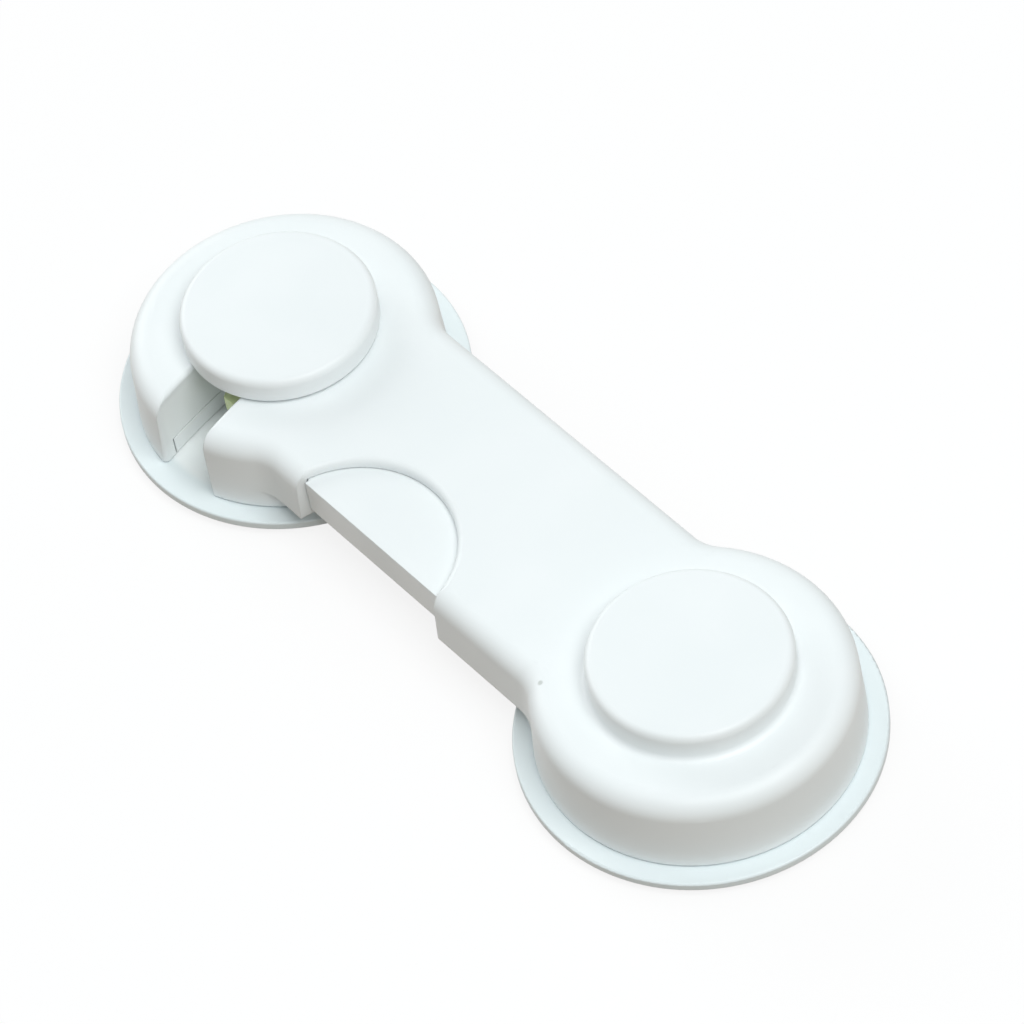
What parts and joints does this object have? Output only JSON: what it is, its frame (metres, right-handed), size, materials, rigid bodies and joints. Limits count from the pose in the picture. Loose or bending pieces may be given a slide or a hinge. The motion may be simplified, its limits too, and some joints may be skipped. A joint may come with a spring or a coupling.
{
  "type": "cabinet safety lock",
  "caption": "Stick-on cabinet safety lock: an arm turns on a round pivot base, its side-opening jaw snaps round the post of a catch base, and a push button in the arm frees it.",
  "frame": {"origin": "on the mounting surface, under the two adhesive pads, midway between the two bases", "axes": "+X runs along the arm from the catch base to the pivot base, +Z stands off the mounting surface, and the button and the mouth of the jaw face -Y"},
  "size_m": [0.1072, 0.04, 0.0158],
  "materials": {
    "white_plastic": "satin white moulding",
    "natural_plastic": "undyed olive moulding",
    "foam": "closed-cell adhesive foam",
    "steel": "zinc-plated"
  },
  "bodies": {
    "bases": {"pivot_pad": "foam", "catch_pad": "foam", "pivot_base": "white_plastic", "catch_base": "white_plastic", "catch_cap": "white_plastic", "catch_screw": "steel"},
    "arm": {"arm_shell": "white_plastic", "arm_floor": "white_plastic", "floor_screws": "steel", "pivot_screw": "steel", "pivot_washer": "steel", "button_spring": "steel"},
    "button": {"release_button": "white_plastic"},
    "latch": {"latch": "natural_plastic"}
  },
  "joints": [
    {"name": "arm_swing", "type": "hinge", "parent": "bases", "child": "arm", "pos_m": [0.03365, 0, 0], "axis": [0, 0, -1], "range_deg": [0, 340], "deforming": ["latch"]},
    {"name": "button_press", "type": "slide", "parent": "arm", "child": "button", "axis": [0, 1, 0], "range_m": [0, 0.0032], "stiffness_N_per_m": 400, "springref_m": -0.004, "deforming": ["button_spring"]},
    {"name": "latch_slide", "type": "slide", "parent": "arm", "child": "latch", "axis": [1, 0, 0], "range_m": [0, 0.0037]}
  ],
  "couplings": [
    {"joint": "latch_slide", "follows": "button_press", "ratio": 1.1562}
  ]
}
